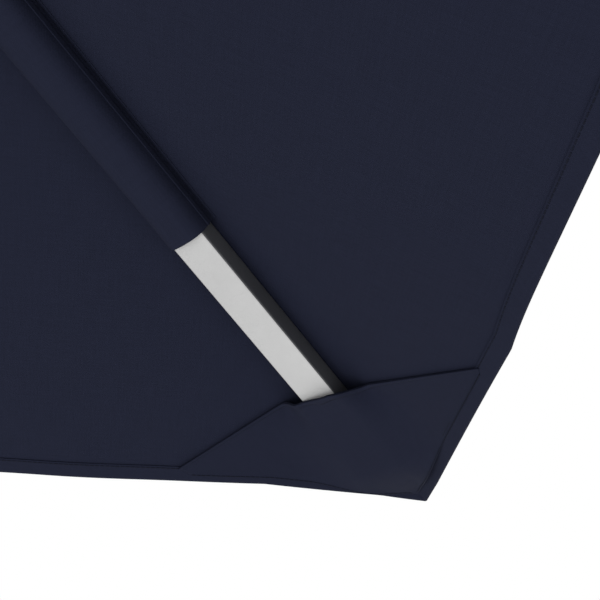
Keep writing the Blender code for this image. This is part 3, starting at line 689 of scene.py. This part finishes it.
def stitch_run(name, spots, up, place, long=0.0026, wide=0.00060, tall=0.00045):
    """A row of sewing: one small thread at each spot, pointing at the next."""
    shape = bmesh.new()
    for here, there in zip(spots, spots[1:]):
        way = (there - here).normalized()
        cross = up.cross(way).normalized()
        turn = Matrix((way, cross, way.cross(cross))).transposed().to_4x4()
        size = Matrix.Diagonal((long, wide, tall, 1))
        middle = Matrix.Translation((here + there) / 2)
        bmesh.ops.create_cube(shape, size=1, matrix=place @ middle @ turn @ size)
    uv = shape.loops.layers.uv.new("threads")
    for face in shape.faces:
        for corner in face.loops:
            corner[uv].uv = (corner.vert.co.x, corner.vert.co.z)
    mesh = bpy.data.meshes.new(name)
    shape.to_mesh(mesh)
    shape.free()
    mesh.shade_smooth()
    mesh.set_sharp_from_angle(angle=radians(60))
    mesh.materials.append(navy_thread)
    piece = bpy.data.objects.new(name, mesh)
    bpy.context.scene.collection.objects.link(piece)
    return piece


STITCH, ON_CLOTH = 0.0036, CLOTH * 0.6    # from stitch to stitch, and a stitch's height over its cloth
HEM, HEM_STITCH = 0.0114, 0.0100
HEM_LIFT = CLOTH * 1.1


def hem_point(side, share, around):
    """The folded band: from its inner edge under the canopy, out to the hem and round on to the top."""
    flat = 0.8
    if around <= flat:
        return below_panel(side, share, HEM * (1 - around / flat), HEM_LIFT)
    turn = (around - flat) / (1 - flat) * pi - pi / 2
    edge = below_panel(side, share, 0, 0)
    return edge - inward_way(side) * HEM_LIFT * cos(turn) + panel_up(side) * HEM_LIFT * sin(turn)


for number in RIBS:
    place = rib_frame(number)
    for side, hand in SIDES:
        def cover(u, v):
            return canopy_point(side, u ** 1.5, v)

        def flat_map(u, v):
            spot = cover(u, v)
            way = edge_way(side)
            return (spot.dot(way), spot.dot(inward_way(side)))

        panel = cloth_piece(f"canopy_{number}_{hand}", 64, 96, cover, flat_map, place)
        on_arm(panel, number, side)
        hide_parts(f"canopy_quarter_{number}")
        hem = cloth_piece(f"canopy_hem_{number}_{hand}", 200, 10, lambda u, v: hem_point(side, u ** 1.3, v),
                          lambda u, v: (u * EDGE_LONG, v * HEM * 2), place)
        on_arm(hem, number, side)
        trim = [hem]
        count = int(EDGE_LONG / STITCH)
        for level, drop in (("under", HEM_LIFT + ON_CLOTH), ("top", -ON_CLOTH)):
            spots = [below_panel(side, i / count, HEM_STITCH, drop) for i in range(count + 1)]
            row = stitch_run(f"hem_stitches_{level}_{number}_{hand}", spots, panel_up(side), place)
            trim.append(on_arm(row, number, side))


# ------------------------------------------------------------------ ridge seams
# Where two panels meet over a rib they are lapped and topstitched twice, with a narrow tape of the
# same cloth on the outside to keep rain out of the needle holes.
TAPE_HALF, TAPE_START, TAPE_END = 0.0065, 0.055, RIB_LONG - 0.014
TAPE_LIFT = CLOTH * 1.05


def over_canopy(x, y, lift):
    return lies_on_rib(Vector((x, y, RIDGE - PANEL_FALL * abs(y)))) + Vector((0, 0, lift))


for number in RIBS:
    place = rib_frame(number)
    tape_long = TAPE_END - TAPE_START
    tape = cloth_piece(
        f"ridge_tape_{number}", 120, 8,
        lambda u, v: over_canopy(TAPE_START + tape_long * u, TAPE_HALF * (2 * v - 1), TAPE_LIFT),
        lambda u, v: (u * tape_long, v * TAPE_HALF * 2), place)
    on_arm(tape, number)
    rows = []
    count = int(tape_long / STITCH)
    for label, y in (("a", -0.0045), ("b", 0.0045)):
        spots = [over_canopy(TAPE_START + tape_long * i / count, y, TAPE_LIFT + ON_CLOTH)
                 for i in range(count + 1)]
        row = stitch_run(f"ridge_stitches_{number}_{label}", spots, Vector((0, 0, 1)), place)
        rows.append(on_arm(row, number))


# ------------------------------------------------------------------ rib sleeves
# A tunnel of canopy cloth sewn under each seam. The rib is threaded through it, so it keeps a rounded
# arch, and its lapped seam runs down the right-hand flank.
SLEEVE_START, SLEEVE_END = RIB_LONG - 0.539, RIB_LONG - 0.263
ARCH_HALF, ARCH_TOP, ARCH_DEEP = 0.0149, 0.0030, 0.0142
ARCH_SQUARE = 0.70              # 1 is a round arch, and less is squarer
FLANGE = 0.0030
UNDER_CANOPY = CLOTH * 1.15


def arch_point(share):
    """Across the tunnel from one sewn flange, round under the rib, to the other."""
    foot = RIDGE - PANEL_FALL * ARCH_HALF - UNDER_CANOPY
    if share < 0.1 or share > 0.9:
        side = 1 if share < 0.1 else -1
        out = FLANGE * (1 - min(share, 1 - share) / 0.1)
        return Vector((0, side * (ARCH_HALF + out), foot - PANEL_FALL * out))
    if share < 0.2 or share > 0.8:
        side = 1 if share < 0.2 else -1
        fall = (min(share, 1 - share) - 0.1) / 0.1
        return Vector((0, side * ARCH_HALF, foot + (ARCH_TOP - foot) * fall))
    turn = (share - 0.2) / 0.6 * pi
    return Vector((0, copysign(abs(cos(turn)) ** ARCH_SQUARE, cos(turn)) * ARCH_HALF,
                   ARCH_TOP - ARCH_DEEP * abs(sin(turn)) ** ARCH_SQUARE))


def sleeve_point(u, v):
    spot = arch_point(v)
    spot.x = SLEEVE_START + (SLEEVE_END - SLEEVE_START) * u
    belly = sin(pi * min(1, max(0, (v - 0.15) / 0.7)))
    ripple = noise.noise(Vector((spot.x * 26, v * 3.5, 1.7))) * 0.0005
    spot.z -= belly * (ripple + 0.0004 + 0.0006 * smooth(0.93, 1, u))
    return spot


ARCH_GIRTH = 0.062
tunnel_long = SLEEVE_END - SLEEVE_START
for number in RIBS:
    place = rib_frame(number)
    tunnel = cloth_piece(f"sleeve_{number}", 120, 72, sleeve_point,
                         lambda u, v: (u * tunnel_long, v * ARCH_GIRTH), place)
    on_arm(tunnel, number)
    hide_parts(f"rib_sleeve_{number}")

    def lap_point(u, v):
        spot = sleeve_point(u, 0.765 + 0.035 * v)
        return spot + Vector((0, -0.00065, -0.0001))

    lap = cloth_piece(f"sleeve_lap_{number}", 100, 6, lap_point,
                      lambda u, v: (u * tunnel_long, v * 0.003), place)
    on_arm(lap, number)


# ------------------------------------------------------------------ corner pockets
# A triangle of canopy cloth sewn to the hems under each corner. Its mouth faces the hub with a rolled
# edge, and the rib's end is pushed into it, which lifts the middle clear and keeps the canopy tight.
MOUTH = {1: 0.1290, -1: 0.1185}          # from the corner back to the mouth, beside the rib
MOUTH_AT_RIB = 0.1297
MOUTH_HALF = 0.1160
SEAM_IN = {1: 0.0062, -1: 0.0080}        # sewn edge, in from the hem
SEAM_IN_TIP = 0.0070
SEAM_LONG = {1: 0.1680, -1: 0.1655}      # along the hem from the corner
FLOOR_Z = -RIB_HALF_H - 0.0011
TOE, TOE_END = RIB_LONG - 0.057, RIB_LONG - 0.008
POCKET_LIFT = HEM_LIFT + CLOTH * 1.3
GAPE = {1: 0.0010, -1: 0.0024}           # how far the mouth sags open beside the rib
LIP, LIP_OPEN = 0.0012, 0.0042           # its gap below the rib, and how much more it opens to the right
ROLL = {1: (0.0011, 0.0026), -1: (0.0011, 0.0048)}   # its rolled edge at the ends, and more at the rib


def pocket_point(share, back):
    """Share runs from -1 at one end of the mouth to 1 at the other, and back from mouth to sewn edge."""
    side, out = (1 if share >= 0 else -1), abs(share)
    across = MOUTH_HALF * out
    mouth_x = RIB_LONG - MOUTH_AT_RIB + (MOUTH_AT_RIB - MOUTH[side]) * smooth(0.012, 0.032, across)
    mouth = Vector((mouth_x, side * across, 0))
    inset = SEAM_IN_TIP + (SEAM_IN[side] - SEAM_IN_TIP) * smooth(0, 0.3, out)
    first = 0.889 * inset
    distance = first + (SEAM_LONG[side] - first) * out
    seam = Vector((RIB_LONG, 0, 0)) + edge_way(side) * distance
    seam += inward_way(side) * (inset + edge_in(side, distance) * smooth(0, 0.05, distance))
    spot = mouth.lerp(seam, back)
    spot.y *= smooth(0, 0.01, out) if out < 0.01 else 1
    ground = lies_on_rib(Vector((spot.x, spot.y, RIDGE - PANEL_FALL * abs(spot.y)))).z - POCKET_LIFT
    shoulder = 0.034 + 0.030 * smooth(0, 0.45, back)
    held_up = (1 - smooth(0.0136, shoulder, abs(spot.y))) * (1 - smooth(TOE, TOE_END, spot.x))
    slack = GAPE[side] * smooth(0.010, 0.030, abs(spot.y)) * exp(-abs(spot.y) / 0.040) * exp(-back / 0.10)
    lip = (LIP + LIP_OPEN * smooth(-0.013, 0.010, -spot.y)) * held_up * exp(-back / 0.09)
    crease = noise.noise(Vector((spot.y * 130, spot.x * 60, 5.0))) * 0.0007 * exp(-back / 0.22)
    crease *= exp(-abs(spot.y) / 0.030)
    spot.z = ground + (FLOOR_Z - ground) * held_up - slack - lip - abs(crease)
    return spot


def across_mouth(u):
    return copysign(abs(2 * u - 1) ** 1.25, u - 0.5)


def rolled_edge(u, v):
    share = across_mouth(u)
    side = 1 if share >= 0 else -1
    narrow, more = ROLL[side]
    width = narrow + more * exp(-abs(share) * MOUTH_HALF / 0.045)
    depth = MOUTH[side] * (1 - abs(share)) + 0.012
    here, then = pocket_point(share, 0), pocket_point(share, min(1, width / depth))
    return here.lerp(then, v) - Vector((0, 0, CLOTH * (1.25 + 0.5 * sin(pi * v))))


for number in RIBS:
    place = rib_frame(number)
    body = cloth_piece(f"pocket_{number}", 140, 56, lambda u, v: pocket_point(across_mouth(u), v),
                       lambda u, v: ((u - 0.5) * 0.24, v * 0.12), place)
    roll = cloth_piece(f"pocket_roll_{number}", 140, 8, rolled_edge,
                       lambda u, v: ((u - 0.5) * 0.24, v * 0.004), place, thick=CLOTH * 1.4)
    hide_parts(f"corner_pocket_{number}")
    rows = []
    count = int(2 * MOUTH_HALF / STITCH)
    rows.append(("mouth", [rolled_edge(i / count, 1.15) for i in range(count + 1)], 0.0033))
    for side, hand in SIDES:
        count = int(SEAM_LONG[side] / STITCH)
        spots = [pocket_point(side * (0.02 + 0.98 * i / count), 0.985) - Vector((0, 0, ON_CLOTH))
                 for i in range(count + 1)]
        rows.append((hand, spots, 0.0026))
    trim = [roll] + [stitch_run(f"pocket_stitches_{name}_{number}", spots, Vector((0, 0, -1)), place, long)
                     for name, spots, long in rows]
    for piece in (body, *trim):
        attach(piece, f"rib_arm_{number}")
        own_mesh(piece)


# ------------------------------------------------------------------ crown
# A square patch of canopy cloth covers the panels' inner ends. A moulded cap clamps it to the hub, and
# the finial screws down on top of the cap.
PATCH_HALF, PATCH_ROW, CROWN_Z = 0.085, 0.93, HUB_Z + 0.011 + GAP
PANEL_TOP_Z, PANEL_TOP_HALF, SIDE_FALL = HUB_Z - 0.0044, 0.0648, 0.5147


def patch_point(u, v):
    x, y = (2 * u - 1) * PATCH_HALF, (2 * v - 1) * PATCH_HALF
    square = (abs(x) ** 10 + abs(y) ** 10) ** 0.1
    panel = PANEL_TOP_Z - SIDE_FALL * (square - PANEL_TOP_HALF) + 0.0024
    tent = CROWN_Z + 0.0006 - 1.1 * max(0, hypot(x, y) - 0.0545)
    blend = 0.0025
    gap = abs(panel - tent)
    rise = max(0, blend - gap) ** 2 / (4 * blend)
    return Vector((x, y, max(panel, tent) + rise if hypot(x, y) > 0.045 else tent))


patch = cloth_piece("crown_patch_cloth", 96, 96, patch_point,
                    lambda u, v: (u * PATCH_HALF * 2, v * PATCH_HALF * 2), Matrix.Identity(4))
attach(patch, "mast")
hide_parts("crown_patch")
for turn in range(4):
    spin = Matrix.Rotation(turn * pi / 2, 4, "Z")
    spots = []
    for i in range(int(2 * PATCH_HALF * PATCH_ROW / STITCH) + 1):
        along = -PATCH_HALF * PATCH_ROW + i * STITCH
        spot = patch_point(0.5 + along / (2 * PATCH_HALF), 0.5 + PATCH_ROW / 2)
        spots.append(spot + Vector((0, 0, CLOTH * 0.7)))
    row = stitch_run(f"crown_stitches_{turn}", spots, Vector((0, 0.45, 0.9)), spin)
    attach(row, "mast")

cap_low = CROWN_Z + 0.0012 + GAP
cap = turned([
    (0.0045, cap_low), (0.050, cap_low), (0.052, cap_low + 0.002), (0.0505, cap_low + 0.005),
    (0.0440, cap_low + 0.0080), (0.034, cap_low + 0.011), (0.0225, cap_low + 0.0136),
    (0.0195, cap_low + 0.0132), (0.0180, cap_low + 0.0140), (0.0045, cap_low + 0.014)],
    0.0010, 128, closed=True)
add_piece("cap", cap, black_plastic, "mast", ["crown_cap"])
knob_low = cap_low + 0.014 + GAP
finial = turned([
    (0, HUB_Z - 0.004), (0.0039, HUB_Z - 0.004), (0.0039, knob_low), (0.015, knob_low),
    (0.016, knob_low + 0.004), (0.0125, knob_low + 0.0075), (0.010, knob_low + 0.010),
    (0.0088, knob_low + 0.014), (0.0090, knob_low + 0.019), (0.0122, knob_low + 0.0235),
    (0.0150, knob_low + 0.027), (0.0172, knob_low + 0.032), (0.018, knob_low + 0.038),
    (0.0174, knob_low + 0.044), (0.0155, knob_low + 0.049), (0.0122, knob_low + 0.0545),
    (0.008, knob_low + 0.060), (0.0045, knob_low + 0.0643), (0.003, knob_low + 0.066),
    (0, knob_low + 0.067)], 0.0018, 96)
add_piece("top_finial", finial, black_plastic, "mast", ["finial"], sharp=50)
